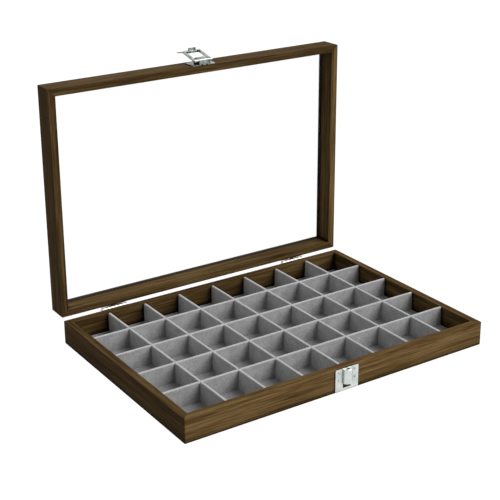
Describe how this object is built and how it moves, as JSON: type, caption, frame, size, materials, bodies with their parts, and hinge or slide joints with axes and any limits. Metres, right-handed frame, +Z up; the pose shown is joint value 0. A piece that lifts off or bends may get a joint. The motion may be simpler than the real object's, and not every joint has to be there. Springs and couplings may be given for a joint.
{
  "type": "jewelry display tray",
  "caption": "Shallow wooden display tray with a velvet-covered grid of compartments and a hinged, framed clear lid held by a loop latch at the front.",
  "frame": {"origin": "centre of the tray's underside", "axes": "+Z up, -Y towards the front with the strike plate, +X to the right when the front is faced; the lid stands open at the back"},
  "size_m": [0.35, 0.2823, 0.2806],
  "materials": {
    "walnut": "satin stain",
    "board": "bare",
    "velvet": "velvet",
    "clear_pane": "polished",
    "nickel": "nickel plate",
    "hinge_brass": "nickel plate",
    "nail_steel": "bright"
  },
  "bodies": {
    "tray": {"base_rail_front": "walnut", "base_rail_back": "walnut", "base_rail_left": "walnut", "base_rail_right": "walnut", "bottom_board": "board", "bottom_brads": "nail_steel", "floor_pad": "velvet", "divider_long_1": "velvet", "divider_long_2": "velvet", "divider_long_3": "velvet", "divider_long_4": "velvet", "divider_long_5": "velvet", "divider_long_6": "velvet", "divider_long_7": "velvet", "divider_cross_1": "velvet", "divider_cross_2": "velvet", "divider_cross_3": "velvet", "divider_cross_4": "velvet", "strike_plate": "nickel", "strike_nails": "nail_steel", "hinge_left_base_leaf": "hinge_brass", "hinge_right_base_leaf": "hinge_brass", "hinge_left_pin": "hinge_brass", "hinge_right_pin": "hinge_brass", "base_hinge_nails": "nail_steel"},
    "lid": {"lid_rail_front": "walnut", "lid_rail_back": "walnut", "lid_rail_left": "walnut", "lid_rail_right": "walnut", "lid_pane": "clear_pane", "hinge_left_lid_leaf": "hinge_brass", "hinge_right_lid_leaf": "hinge_brass", "lid_hinge_nails": "nail_steel", "latch_plate": "nickel", "latch_nails": "nail_steel", "latch_pin": "nickel"},
    "loop": {"latch_loop": "nickel"}
  },
  "joints": [
    {"name": "lid_hinge", "type": "hinge", "parent": "tray", "child": "lid", "pos_m": [0, 0.1225, 0.02425], "axis": [1, 0, 0], "range_deg": [0, 90]},
    {"name": "latch_hinge", "type": "hinge", "parent": "lid", "child": "loop", "pos_m": [0, 0.12805, 0.27135], "axis": [1, 0, 0], "range_deg": [0, 167]}
  ]
}
